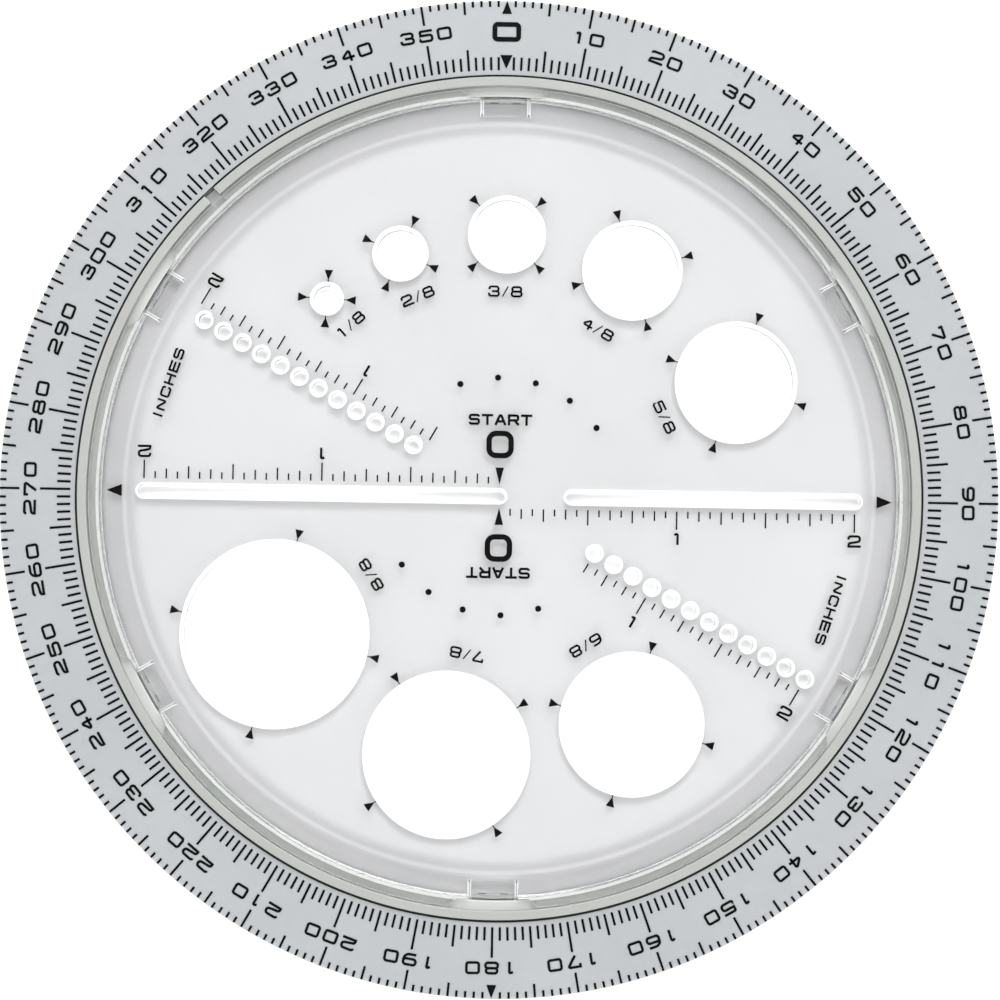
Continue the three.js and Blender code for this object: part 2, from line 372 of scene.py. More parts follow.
class Surface:
    """A Principled material and the nodes that vary it over the object."""

    def __init__(self, name):
        self.material = bpy.data.materials.new(name)
        self.material.use_nodes = True
        self.nodes = self.material.node_tree.nodes
        self.links = self.material.node_tree.links
        self.shader = self.nodes["Principled BSDF"]
        self.place = self.nodes.new("ShaderNodeTexCoord").outputs["Object"]

    def set(self, **values):
        """Sets sockets of the shader to plain values, underscores standing for spaces."""
        for name, value in values.items():
            self.shader.inputs[name.replace("_", " ")].default_value = value

    def noise(self, scale, detail=3.0, stretch=None):
        """Noise over the object; stretch is a turn and a scale that draw it out in lines."""
        place = self.place
        if stretch:
            mapping = self.nodes.new("ShaderNodeMapping")
            mapping.inputs["Rotation"].default_value, mapping.inputs["Scale"].default_value = stretch
            self.links.new(place, mapping.inputs["Vector"])
            place = mapping.outputs["Vector"]
        noise = self.nodes.new("ShaderNodeTexNoise")
        noise.inputs["Scale"].default_value = scale
        noise.inputs["Detail"].default_value = detail
        self.links.new(place, noise.inputs["Vector"])
        return noise.outputs["Fac"]

    def ramp(self, source, stops):
        """Colours or greys at positions along a source from 0 to 1."""
        ramp = self.nodes.new("ShaderNodeValToRGB")
        elements = ramp.color_ramp.elements
        while len(elements) < len(stops):
            elements.new(0.5)
        for element, (position, colour) in zip(elements, stops):
            element.position = position
            element.color = (*colour, 1.0)
        self.links.new(source, ramp.inputs["Fac"])
        return ramp.outputs["Color"]

    def spread(self, source, low, high, taken=(0.3, 0.7)):
        """The taken part of a source's range, spread to a range of values."""
        spread = self.nodes.new("ShaderNodeMapRange")
        spread.inputs["From Min"].default_value = taken[0]
        spread.inputs["From Max"].default_value = taken[1]
        spread.inputs["To Min"].default_value = low
        spread.inputs["To Max"].default_value = high
        self.links.new(source, spread.inputs["Value"])
        return spread.outputs["Result"]

    def beyond(self, start, end):
        """0 at one distance from the object's axis, rising softly to 1 at another."""
        flat = self.nodes.new("ShaderNodeVectorMath")
        flat.operation = "MULTIPLY"
        flat.inputs[1].default_value = (1.0, 1.0, 0.0)
        self.links.new(self.place, flat.inputs[0])
        radius = self.nodes.new("ShaderNodeVectorMath")
        radius.operation = "LENGTH"
        self.links.new(flat.outputs["Vector"], radius.inputs[0])
        rise = self.nodes.new("ShaderNodeMapRange")
        rise.interpolation_type = "SMOOTHSTEP"
        rise.inputs["From Min"].default_value = start * MM
        rise.inputs["From Max"].default_value = end * MM
        self.links.new(radius.outputs["Value"], rise.inputs["Value"])
        return rise.outputs["Result"]

    def part(self, source, axis):
        """One axis of a position or direction."""
        split = self.nodes.new("ShaderNodeSeparateXYZ")
        self.links.new(source, split.inputs["Vector"])
        return split.outputs[axis]

    def levelness(self):
        """1 where a face looks straight up or down, falling to 0 where it is a wall."""
        normal = self.nodes.new("ShaderNodeTexCoord").outputs["Normal"]
        size = self.nodes.new("ShaderNodeMath")
        size.operation = "ABSOLUTE"
        self.links.new(self.part(normal, "Z"), size.inputs[0])
        return size.outputs["Value"]

    def above(self, height):
        """0 below a height, 1 above it."""
        return self.spread(self.part(self.place, "Z"), 0.0, 1.0, (height * MM, height * MM + 1e-5))

    def blend(self, share, first, second):
        """One colour turning into another as the share rises from 0 to 1."""
        mix = self.nodes.new("ShaderNodeMix")
        mix.data_type = "RGBA"
        self.links.new(share, mix.inputs["Factor"])
        self.links.new(first, mix.inputs["A"])
        self.links.new(second, mix.inputs["B"])
        return mix.outputs["Result"]

    def combined(self, first, second, operation):
        """Two values joined by a sum or product."""
        result = self.nodes.new("ShaderNodeMath")
        result.operation = operation
        self.links.new(first, result.inputs[0])
        self.links.new(second, result.inputs[1])
        return result.outputs["Value"]

    def sum(self, first, second):
        return self.combined(first, second, "ADD")

    def product(self, first, second):
        return self.combined(first, second, "MULTIPLY")

    def feed(self, name, source):
        """Lets a source drive one of the shader's sockets."""
        self.links.new(source, self.shader.inputs[name])

    def bump(self, source, height):
        """Raises the surface by a source, up to a height in metres."""
        bump = self.nodes.new("ShaderNodeBump")
        bump.inputs["Distance"].default_value = height
        self.links.new(source, bump.inputs["Height"])
        self.feed("Normal", bump.outputs["Normal"])


def scratches(surface, angle):
    """Thin sparse lines along one direction: 1 on a line, 0 between them."""
    along = ((0, 0, math.radians(angle)), (0.03, 1.0, 1.0))
    noise = surface.noise(900.0, 2.0, along)
    return surface.ramp(noise, [(0.62, (0, 0, 0)), (0.68, (1, 1, 1))])


def grimed(surface, cloudy, unshaded_tone, clear_of, deep_in):
    """Painted shade: a colour that turns dark towards the gap between the two rings."""
    gap_shade = surface.ramp(cloudy, [(0.3, (0.03, 0.03, 0.025)), (0.7, (0.06, 0.06, 0.05))])
    return surface.blend(surface.beyond(clear_of, deep_in), unshaded_tone, gap_shade)


def milky_plastic():
    """Moulded translucent white: cloudy in depth, satin, finely grained, with painted shade at its
    bore.
    """
    surface = Surface("milky_plastic")
    surface.set(Subsurface_Weight=1.0, Subsurface_Scale=0.0011, IOR=1.5)
    surface.set(Subsurface_Radius=(1.0, 0.96, 0.92))
    cloudy = surface.noise(55.0, 4.0)
    unshaded_tone = surface.ramp(cloudy, [(0.3, (0.305, 0.318, 0.328)), (0.7, (0.328, 0.341, 0.350))])
    # painted shade: the colour darkens towards the gap between the rings
    surface.feed("Base Color", grimed(surface, cloudy, unshaded_tone, RING_BORE + PAINTED_FADE, RING_BORE))
    handled = surface.sum(
        surface.spread(surface.noise(140.0, 5.0), 0.36, 0.5),
        surface.spread(scratches(surface, 25), 0.0, 0.08, WHOLE),
    )
    surface.feed("Roughness", handled)
    surface.bump(surface.noise(2600.0, 4.0), 0.00001)
    return surface.material


def cream_plastic():
    """A harder, yellower plastic with fine moulded grain, with painted light on the ledge that
    the disc turns on, and painted shade at its outer edge."""
    surface = Surface("cream_plastic")
    surface.set(Subsurface_Weight=0.6, Subsurface_Scale=0.0005, IOR=1.5)
    surface.set(Subsurface_Radius=(1.0, 0.98, 0.85))
    cloudy = surface.noise(90.0, 4.0)
    unshaded_tone = surface.ramp(cloudy, [(0.3, (0.280, 0.287, 0.273)), (0.7, (0.296, 0.303, 0.289))])
    # painted light: a paler copy of the cream on the ledge under the disc's flange
    lit_ledge = surface.ramp(cloudy, [(0.3, (0.41, 0.42, 0.405)), (0.7, (0.445, 0.455, 0.44))])
    unshaded_tone = surface.blend(surface.beyond(BEARING_BORE, BEARING_BORE - PAINTED_FADE), unshaded_tone, lit_ledge)
    # painted shade: darker towards the gap between the rings
    colour = grimed(surface, cloudy, unshaded_tone, BEARING_RADIUS - PAINTED_FADE, BEARING_RADIUS)
    surface.feed("Base Color", colour)
    surface.feed("Roughness", surface.spread(surface.noise(300.0, 5.0), 0.38, 0.55))
    surface.bump(surface.noise(3200.0, 4.0), 0.000012)
    return surface.material


def level_tint(surface, cloudy):
    """The tone of the disc's level lower faces: the plate's grey, a painted light band along its step,
    and painted shade on the margin.
    """
    plate = surface.ramp(cloudy, [(0.3, (0.414, 0.416, 0.421)), (0.7, (0.434, 0.436, 0.441))])
    # painted shade: the margin is darker where the wall and the rings shade the card under it
    margin_shade = surface.ramp(cloudy, [(0.3, (0.295, 0.295, 0.30)), (0.7, (0.335, 0.335, 0.34))])
    # painted light: a lighter band along the step, for the light line that the step shows
    step_light = surface.ramp(cloudy, [(0.3, (0.385, 0.385, 0.39)), (0.7, (0.41, 0.41, 0.415))])
    step_light_start = STEP_INNER + 0.2
    step_light_end = STEP_OUTER + 0.3
    on_step_light = surface.product(
        surface.beyond(step_light_start, STEP_OUTER - 0.3),
        surface.beyond(step_light_end, STEP_OUTER - 0.2),
    )
    tint_and_shade = surface.blend(surface.beyond(MARGIN_FADE, step_light_start), plate, margin_shade)
    return surface.blend(on_step_light, tint_and_shade, step_light)


def edge_tint(surface, cloudy):
    """The tone of all other faces: clear, but for a little grey of painted shade from the wall
    outwards.
    """
    edge = surface.ramp(cloudy, [(0.3, (0.98, 0.98, 0.98)), (0.7, (1.0, 1.0, 1.0))])
    # painted shade: a greyer copy of the clear plastic from the wall outwards, for the bearing ring's
    # shade
    rim_shade = surface.ramp(cloudy, [(0.3, (0.70, 0.71, 0.70)), (0.7, (0.76, 0.77, 0.76))])
    return surface.blend(surface.beyond(WALL_FOOT, WALL_HEAD), edge, rim_shade)


def clear_plastic():
    """Clear moulded styrene with hairline scuffs. Most of its grey lies on the level lower
    faces, with painted shade on the margin and a painted light band along the step, and painted
    shade greys it from the wall outwards. Its slanted upper edges are partly frosted, so that cut
    edges look bright."""
    surface = Surface("clear_plastic")
    surface.set(IOR=1.5)
    cloudy = surface.noise(30.0, 3.0)
    levelness = surface.levelness()
    flat = surface.spread(levelness, 0.0, 1.0, FLAT)
    low = surface.spread(surface.above(MARGIN_TOP - 0.1), 1.0, 0.0, WHOLE)
    low_and_flat = surface.product(flat, low)
    edge, tint_and_shade = edge_tint(surface, cloudy), level_tint(surface, cloudy)
    surface.feed("Base Color", surface.blend(low_and_flat, edge, tint_and_shade))
    slanted = surface.product(
        surface.spread(levelness, 1.0, 0.0, FLAT),
        surface.spread(levelness, 0.0, 1.0, STEEP),
    )
    frosted = surface.product(slanted, surface.above(PLATE_TOP - HOLE_CHAMFER))
    surface.feed("Transmission Weight", surface.spread(frosted, 1.0, 0.6, WHOLE))
    scuffs = surface.sum(scratches(surface, 35), scratches(surface, -50))
    rubbed = surface.sum(
        surface.spread(surface.noise(120.0, 5.0), 0.015, 0.05),
        surface.spread(scuffs, 0.0, 0.06, WHOLE),
    )
    surface.feed("Roughness", surface.sum(rubbed, surface.spread(slanted, 0.0, 0.3, WHOLE)))
    surface.bump(surface.sum(surface.noise(220.0, 3.0), scuffs), 0.0000004)
    return surface.material


def black_ink():
    """Screen-printed ink: near black, slightly uneven, half matt."""
    surface = Surface("black_ink")
    surface.set(Specular_IOR_Level=0.05)
    uneven = surface.noise(900.0, 5.0)
    black = surface.ramp(uneven, [(0.35, (0.001, 0.001, 0.001)), (0.7, (0.003, 0.003, 0.003))])
    surface.feed("Base Color", black)
    surface.feed("Roughness", surface.spread(surface.noise(700.0, 4.0), 0.42, 0.62))
    surface.bump(surface.noise(4200.0, 4.0), 0.000003)
    return surface.material


def white_paper():
    """The floor: plain pale card."""
    surface = Surface("white_paper")
    surface.set(Specular_IOR_Level=0.1)
    fibres = surface.noise(800.0, 6.0)
    white = surface.ramp(fibres, [(0.3, (0.93, 0.93, 0.93)), (0.7, (0.95, 0.95, 0.95))])
    surface.feed("Base Color", white)
    surface.feed("Roughness", surface.spread(fibres, 0.8, 0.95))
    surface.bump(fibres, 0.00001)
    return surface.material


MILKY = milky_plastic()
CREAM = cream_plastic()
CLEAR = clear_plastic()
INK = black_ink()


# ---- protractor ring and bearing ring ------------------------------------------------------


def protractor_ring():
    """The flat outer ring, with the groove in its bore that holds the bearing ring."""
    soft, crisp = 0.3, 0.1
    groove_low = RIB_MIDDLE - GROOVE_HEIGHT / 2
    groove_high = RIB_MIDDLE + GROOVE_HEIGHT / 2
    profile = rounded(
        [
            (RING_BORE, RING_BOTTOM, crisp),
            (RING_RADIUS, RING_BOTTOM, soft),
            (RING_RADIUS, RING_TOP, soft),
            (RING_BORE, RING_TOP, crisp),
            (RING_BORE, groove_high, crisp),
            (GROOVE_RADIUS, groove_high, crisp),
            (GROOVE_RADIUS, groove_low, crisp),
            (RING_BORE, groove_low, crisp),
        ]
    )
    ring = mesh_object("protractor_ring_body", lathe(profile, RING_SEGMENTS))
    finish_piece(ring, "ring", MILKY)
    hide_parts("protractor_ring")


def bearing_ring():
    """The split ring: a rib outside, and a ledge inside that carries the disc."""
    crisp, fine = 0.12, 0.06
    rib_low = RIB_MIDDLE - RIB_HEIGHT / 2
    rib_high = RIB_MIDDLE + RIB_HEIGHT / 2
    profile = rounded(
        [
            (BEARING_BORE, BEARING_BOTTOM, crisp),
            (BEARING_RADIUS, BEARING_BOTTOM, crisp),
            (BEARING_RADIUS, rib_low, fine),
            (RIB_RADIUS, rib_low, fine),
            (RIB_RADIUS, rib_high, fine),
            (BEARING_RADIUS, rib_high, fine),
            (BEARING_RADIUS, BEARING_TOP, crisp),
            (BEARING_BORE, BEARING_TOP, crisp),
            (BEARING_BORE, LEDGE_TOP, crisp),
            (LEDGE_BORE, LEDGE_TOP, crisp),
            (LEDGE_BORE, LEDGE_BOTTOM, crisp),
            (BEARING_BORE, LEDGE_BOTTOM, crisp),
        ]
    )
    gap = math.degrees(SPLIT_WIDTH / BEARING_RADIUS)
    turned = lathe(profile, RING_SEGMENTS, SPLIT_ANGLE + gap / 2, WHOLE_TURN - gap)
    ring = mesh_object("bearing_ring_body", turned)
    ends = ring.modifiers.new("end_bevel", "BEVEL")
    ends.limit_method = "ANGLE"
    ends.angle_limit = math.radians(60)
    ends.width = crisp
    ends.segments = 3
    bake_modifiers(ring)
    finish_piece(ring, "ring", CREAM)
    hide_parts("bearing_ring")


# ---- template disc ----------------------------------------------------------------------------


def disc_profile():
    """Half of the disc's section: plate, step, margin, wall and flange."""
    soft, crisp = 0.3, 0.1
    return rounded(
        [
            (0, DISC_BOTTOM, 0),
            (WALL_RADIUS, DISC_BOTTOM, soft),
            (WALL_RADIUS, FLANGE_BOTTOM, crisp),
            (FLANGE_RADIUS, FLANGE_BOTTOM, crisp),
            (FLANGE_RADIUS, FLANGE_TOP, crisp),
            (WALL_HEAD + WALL_CHAMFER, FLANGE_TOP, crisp),
            (WALL_HEAD, FLANGE_TOP - WALL_CHAMFER, crisp),
            (WALL_FOOT, MARGIN_TOP, crisp),
            (STEP_OUTER, MARGIN_TOP, soft),
            (STEP_INNER, PLATE_TOP, soft),
            (0, PLATE_TOP, 0),
        ]
    )


def hook():
    """A snap hook on +Y: a barb on the disc's edge that reaches under the ledge."""
    root = WALL_RADIUS - 0.4
    lead_in, crisp = 0.3, 0.08
    profile = rounded(
        [
            (root, DISC_BOTTOM + OVERLAP, 0),
            (WALL_RADIUS - OVERLAP, DISC_BOTTOM + OVERLAP, 0),
            (HOOK_REACH, DISC_BOTTOM + lead_in, crisp),
            (HOOK_REACH, HOOK_TOP, crisp),
            (root, HOOK_TOP, 0),
        ]
    )
    sweep = math.degrees(HOOK_WIDTH / WALL_RADIUS)
    return lathe(profile, HOOK_SEGMENTS, -sweep / 2, sweep)


def notch_outline(grown):
    """As wide as the leg at the wall, splayed outwards, its mouth flared along the rim."""
    root = WALL_RADIUS + OVERLAP / 2
    rim = FLANGE_RADIUS + OVERLAP / 2
    leg = LEG_WIDTH / 2 + grown
    lean = math.degrees(math.asin((NOTCH_INNER_WIDTH / 2 + grown) / root))
    far = NOTCH_OUTER_WIDTH / 2 + grown
    flared = far + NOTCH_FLARE
    right = [
        (leg, NOTCH_START, 0.1),
        (leg, math.sqrt(root**2 - leg**2), 0.15),
        (*clock_point(root, lean), 0.5),
        (far, math.sqrt(rim**2 - far**2), 0.7),
        (flared, math.sqrt(rim**2 - flared**2), 0),
        (flared, rim + PAST, 0),
    ]
    left = [(-x, y, radius) for x, y, radius in reversed(right)]
    return rounded(right + left)


def notch():
    """The opening above a hook on +Y, with its upper edge eased."""
    levels = (
        (MARGIN_TOP, 0),
        (FLANGE_TOP - NOTCH_EASE, 0),
        (FLANGE_TOP, NOTCH_EASE),
        (FLANGE_TOP + PAST, NOTCH_EASE),
    )
    return stacked([(z, notch_outline(grown)) for z, grown in levels])


def pocket():
    """The hollow under the margin behind a hook on +Y."""
    half = POCKET_WIDTH / 2
    outline = rectangle(-half, half, POCKET_INNER, POCKET_OUTER, 0.3)
    return prism(outline, DISC_BOTTOM - PAST, MARGIN_TOP - POCKET_SKIN)


def cut_above(outline, height):
    """A cutter with an outline, from a height up past the top of the disc."""
    return prism(outline, height, FLANGE_TOP + PAST)


def slit(side):
    """A fine slit over one side of a pocket on +Y."""
    middle = side * SLIT_SPACING / 2
    half = SLIT_WIDTH / 2
    outline = rectangle(middle - half, middle + half, SLIT_START, SLIT_END, 0.05)
    return cut_above(outline, MARGIN_TOP - SLIT_DEPTH)


def side_groove(side):
    """A groove in the margin along one side of a pocket on +Y, with slanted sides."""
    middle = side * (POCKET_WIDTH + SIDE_GROOVE_WIDTH) / 2
    levels = (
        (MARGIN_TOP - SIDE_GROOVE_DEPTH, SIDE_GROOVE_FLOOR / 2, POCKET_INNER + 0.2),
        (MARGIN_TOP, SIDE_GROOVE_WIDTH / 2, POCKET_INNER - 0.5),
        (FLANGE_TOP + PAST, SIDE_GROOVE_WIDTH / 2, POCKET_INNER - 0.5),
    )
    return stacked(
        [(z, rectangle(middle - half, middle + half, y, WALL_RADIUS)) for z, half, y in levels]
    )


def core_trace():
    """A faint trace that a mould's core leaves at the wall's foot, on +Y."""
    half = TRACE_WIDTH / 2
    outline = rectangle(-half, half, WALL_FOOT, WALL_FOOT + TRACE_LENGTH, 0.1)
    return cut_above(outline, MARGIN_TOP - TRACE_DEPTH)


def hook_marks():
    """The fine marks of the moulding at a hook on +Y."""
    pairs = [form for side in (-1, 1) for form in (slit(side), side_groove(side))]
    return merged([*pairs, core_trace()])


def ejector_mark():
    """A shallow round dent in the flange on +Y, left by a mould's pin."""
    middle = (0, (WALL_RADIUS + FLANGE_RADIUS) / 2)
    outline = arc(middle, EJECTOR_RADIUS, 0, 345)
    return cut_above(outline, FLANGE_TOP - EJECTOR_DEPTH)


def hole_radius(eighths):
    """A circle hole's radius: its marked size with room for the pencil point."""
    return (eighths * INCH / 8 + PENCIL_ALLOWANCE) / 2


def hole_run(eighths, web, first):
    """(size, clock angle) of a run of holes with the same web between their edges."""
    degrees = first
    run = []
    for i, size in enumerate(eighths):
        if i > 0:
            apart = hole_radius(eighths[i - 1]) + web + hole_radius(size)
            degrees += math.degrees(2 * math.asin(apart / 2 / HOLE_ORBIT))
        run.append((size, degrees))
    return run


HOLES = hole_run(**SMALL_HOLES) + hole_run(**LARGE_HOLES)


def row_points(start, angle):
    """The places of a row of pencil holes."""
    return [clock_point(start + i * ROW_PITCH, angle) for i in range(ROW_COUNT)]


def round_cutter(centre, radius, chamfer, segments):
    """A cutter for a round hole, countersunk at the plate's top, eased at its bottom."""
    ease = 0.06
    profile = rounded(
        [
            (0, DISC_BOTTOM - PAST, 0),
            (radius + PAST, DISC_BOTTOM - PAST, 0),
            (radius + ease, DISC_BOTTOM, 0),
            (radius, DISC_BOTTOM + ease, 0),
            (radius, PLATE_TOP - chamfer, chamfer * 0.3),
            (radius + chamfer, PLATE_TOP, 0),
            (radius + chamfer + PAST, PLATE_TOP + PAST, 0),
            (0, PLATE_TOP + PAST, 0),
        ]
    )
    place = Matrix.Translation((centre[0], centre[1], 0))
    return moved(lathe(profile, segments), place)


def slot_outline(x_start, x_end, radius):
    """A slot along X with round ends."""
    right = arc((x_end, 0), radius, -90, 90)
    left = arc((x_start, 0), radius, 90, 270)
    return right + left


def slot_cutter(x_start, x_end):
    """A cutter for a slot, chamfered at the plate's top."""
    radius = SLOT_WIDTH / 2
    heights = (
        (DISC_BOTTOM - PAST, radius),
        (PLATE_TOP - SLOT_CHAMFER, radius),
        (PLATE_TOP, radius + SLOT_CHAMFER),
        (PLATE_TOP + PAST, radius + SLOT_CHAMFER + PAST),
    )
    return stacked([(z, slot_outline(x_start, x_end, r)) for z, r in heights])


def index_groove():
    """A fine radial line cut in the flange on +Y."""
    half = INDEX_WIDTH / 2
    outline = rectangle(-half, half, WALL_RADIUS, FLANGE_RADIUS + PAST)
    return cut_above(outline, FLANGE_TOP - INDEX_DEPTH)


def hole_cutters():
    """Cutters for the circle holes, the pencil holes and the two slots."""
    cutters = []
    for size, degrees in HOLES:
        centre = clock_point(HOLE_ORBIT, degrees)
        cutters.append(round_cutter(centre, hole_radius(size), HOLE_CHAMFER, HOLE_SEGMENTS))
    for row in (UPPER_ROW, LOWER_ROW):
        for centre in row_points(**row):
            size = (PENCIL_HOLE_RADIUS, PENCIL_HOLE_CHAMFER)
            cutters.append(round_cutter(centre, *size, PENCIL_HOLE_SEGMENTS))
    return cutters + [slot_cutter(-SCALE_LENGTH, 0), slot_cutter(SHORT_SLOT_START, SCALE_LENGTH)]


def template_disc():
    """The clear disc: turned, then joined to its hooks and cut."""
    disc = mesh_object("template_disc_body", lathe(disc_profile(), DISC_SEGMENTS))
    combine(disc, merged(at_clock(hook(), a) for a in HOOK_ANGLES), "UNION")
    combine(disc, merged(at_clock(notch(), a) for a in HOOK_ANGLES), "DIFFERENCE")
    combine(disc, merged(at_clock(pocket(), a) for a in HOOK_ANGLES), "DIFFERENCE")
    marks = [at_clock(hook_marks(), a) for a in HOOK_ANGLES]
    marks += [at_clock(index_groove(), a) for a in INDEX_ANGLES]
    marks.append(at_clock(ejector_mark(), EJECTOR_ANGLE))
    combine(disc, merged(marks + hole_cutters()), "DIFFERENCE")
    finish_piece(disc, "disc", CLEAR)
    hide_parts("template_disc")


# ---- print -----------------------------------------------------------------------------------

# Strokes of each character in a unit square: corners as (x, y, rounding), the rounding in
# units of the square's height. "ring" strokes close on themselves. "O" is a rounder "0".
BOWL, BEND, TIP = 0.245, 0.2, 0.11
CHARACTERS = {
    "0": [("ring", [(0, 0, BEND), (1, 0, BEND), (1, 1, BEND), (0, 1, BEND)])],
    "1": [("line", [(0, 0.9, 0), (1, 1, TIP), (1, 0, 0)])],
    "2": [
        (
            "line",
            [
                (0, 0.8, 0),
                (0, 1, BEND),
                (1, 1, BOWL),
                (1, 0.5, BOWL),
                (0, 0.3, BEND),
                (0, 0, 0),
                (1, 0, 0),
            ],
        )
    ],
    "3": [
        ("line", [(0.04, 0.8, 0), (0.04, 1, BEND), (0.96, 1, BOWL), (0.96, 0.5, BOWL), (0.4, 0.5, 0)]),
        ("line", [(0.4, 0.5, 0), (1, 0.5, BOWL), (1, 0, BOWL), (0, 0, BEND), (0, 0.2, 0)]),
    ],
    "4": [("line", [(0.76, 0, 0), (0.76, 1, TIP), (0, 0.27, TIP), (1, 0.27, 0)])],
    "5": [
        ("line", [(0.96, 1, 0), (0.06, 1, TIP), (0.06, 0.58, 0)]),
        ("line", [(0.06, 0.58, 0), (1, 0.58, BOWL), (1, 0, BOWL), (0, 0, BEND), (0, 0.18, 0)]),
    ],
    "6": [
        ("ring", [(0, 0, BOWL), (1, 0, BOWL), (1, 0.56, BOWL), (0, 0.56, BOWL)]),
        ("line", [(0, 0.3, 0), (0, 1, 0.5), (0.86, 1, 0)]),
    ],
    "7": [("line", [(0, 0.8, 0), (0, 1, 0), (1, 1, TIP), (0.4, 0, 0)])],
    "8": [
        ("ring", [(0.05, 0.52, 0.23), (0.95, 0.52, 0.23), (0.95, 1, 0.23), (0.05, 1, 0.23)]),
        ("ring", [(0, 0, BOWL), (1, 0, BOWL), (1, 0.52, BOWL), (0, 0.52, BOWL)]),
    ],
    "9": [
        ("ring", [(0, 0.44, BOWL), (1, 0.44, BOWL), (1, 1, BOWL), (0, 1, BOWL)]),
        ("line", [(1, 0.7, 0), (1, 0, 0.5), (0.14, 0, 0)]),
    ],
    "/": [("line", [(0, 0, 0), (1, 1, 0)])],
    "A": [
        ("line", [(0, 0, 0), (0.42, 1, TIP), (0.58, 1, TIP), (1, 0, 0)]),
        ("line", [(0.15, 0.3, 0), (0.85, 0.3, 0)]),
    ],
    "C": [
        (
            "line",
            [(1, 0.78, 0), (1, 1, BEND), (0, 1, BOWL), (0, 0, BOWL), (1, 0, BEND), (1, 0.22, 0)],
        )
    ],
    "E": [
        ("line", [(1, 0, 0), (0, 0, 0), (0, 1, 0), (1, 1, 0)]),
        ("line", [(0, 0.52, 0), (0.92, 0.52, 0)]),
    ],
    "H": [
        ("line", [(0, 0, 0), (0, 1, 0)]),
        ("line", [(1, 0, 0), (1, 1, 0)]),
        ("line", [(0, 0.52, 0), (1, 0.52, 0)]),
    ],
    "I": [("line", [(0.5, 0, 0), (0.5, 1, 0)])],
    "N": [("line", [(0, 0, 0), (0, 1, TIP), (1, 0, TIP), (1, 1, 0)])],
    "O": [("ring", [(0, 0, 0.32), (1, 0, 0.32), (1, 1, 0.32), (0, 1, 0.32)])],
    "R": [
        ("line", [(0, 0, 0), (0, 1, 0), (1, 1, BEND), (1, 0.44, BEND), (0, 0.44, 0)]),
        ("line", [(0.6, 0.44, 0), (1, 0, 0)]),
    ],
    "S": [
        (
            "line",
            [
                (1, 0.8, 0),
                (1, 1, BEND),
                (0, 1, BEND),
                (0, 0.52, BEND),
                (1, 0.52, BEND),
                (1, 0, BEND),
                (0, 0, BEND),
                (0, 0.2, 0),
            ],
        )
    ],
    "T": [("line", [(0, 1, 0), (1, 1, 0)]), ("line", [(0.5, 1, 0), (0.5, 0, 0)])],
}
ADVANCE = {"I": 0.6}  # room for slim letters, as a share of the pitch
NARROW = {"1": 0.2, "I": 0.0, "/": 0.5}  # widths of slim characters, as a share of a wide one
LIGHT = {"/": 0.6}  # strokes of light characters, as a share of the others


def character(letter, width, height, stroke):
    """One character's shape, centred on the origin, with its strokes united."""
    across = (width - stroke) * NARROW.get(letter, 1.0)
    up = height - stroke
    stroke *= LIGHT.get(letter, 1.0)
    bands = []
    for kind, corners in CHARACTERS[letter]:
        placed = [((x - 0.5) * across, (y - 0.5) * up, r * up) for x, y, r in corners]
        closed = kind == "ring"
        path = rounded(placed, closed)
        if not closed:
            path = extended(path, stroke / 2)
        bands.append(ribbon(path, closed, stroke))
    united = mesh_object("character", bands[0])
    for band in bands[1:]:
        combine(united, band, "UNION")
    verts = [tuple(v.co) for v in united.data.vertices]
    faces = [tuple(p.vertices) for p in united.data.polygons]
    bpy.data.objects.remove(united)
    return verts, faces


def extended(path, length):
    """The path run on past both of its ends, for square stroke ends."""
    first = Vector(path[0]) + (Vector(path[0]) - Vector(path[1])).normalized() * length
    last = Vector(path[-1]) + (Vector(path[-1]) - Vector(path[-2])).normalized() * length
    return [tuple(first), *path[1:-1], tuple(last)]


class Face:
    """A size of the lettering. Its characters are drawn once, then copied."""

    def __init__(self, width, height, stroke, pitch):
        self.size = (width, height, stroke)
        self.pitch = pitch
        self.drawn = {}

    def text(self, words, place):
        """Characters side by side, centred on the place's origin, up along its +Y."""
        rooms = [self.pitch * ADVANCE.get(letter, 1.0) for letter in words]
        start = -sum(rooms) / 2
        shapes = []
        for letter, room in zip(words, rooms):
            if letter not in self.drawn:
                self.drawn[letter] = character(letter, *self.size)
            x = start + room / 2
            shapes.append(moved(self.drawn[letter], place @ Matrix.Translation((x, 0, 0))))
            start += room
        return shapes


def place(point, up):
    """A place on the face whose +Y points along a clock angle."""
    x, y = point
    return Matrix.Translation((x, y, 0)) @ Matrix.Rotation(-math.radians(up), 4, "Z")


def bar(width, start, end):
    """A tick along +Y from one distance to another."""
    return prism(rectangle(-width / 2, width / 2, start, end), 0, INK_HEIGHT)


def pointer(base_width, base, tip):
    """A solid triangle on +Y, from its base to its tip."""
    half = base_width / 2
    outline = [(-half, base), (half, base), (0, tip)]
    return prism(outline if tip > base else outline[::-1], 0, INK_HEIGHT)


def disc_dot(radius):
    """A round dot at the origin."""
    outline = [clock_point(radius, -WHOLE_TURN * i / DOT_SEGMENTS) for i in range(DOT_SEGMENTS)]
    return prism(outline, 0, INK_HEIGHT)


def print_piece(name, shapes, surface_height, body):
    """One object of print, a little above the surface that it lies on."""
    lift = Matrix.Translation((0, 0, surface_height - INK_SINK))
    piece = mesh_object(name, moved(merged(shapes), lift))
    finish_piece(piece, body, INK)


def half_turn(shapes):
    """The shapes and their copies half a turn round the object."""
    shapes = list(shapes)
    return shapes + [at_clock(shape, 180) for shape in shapes]


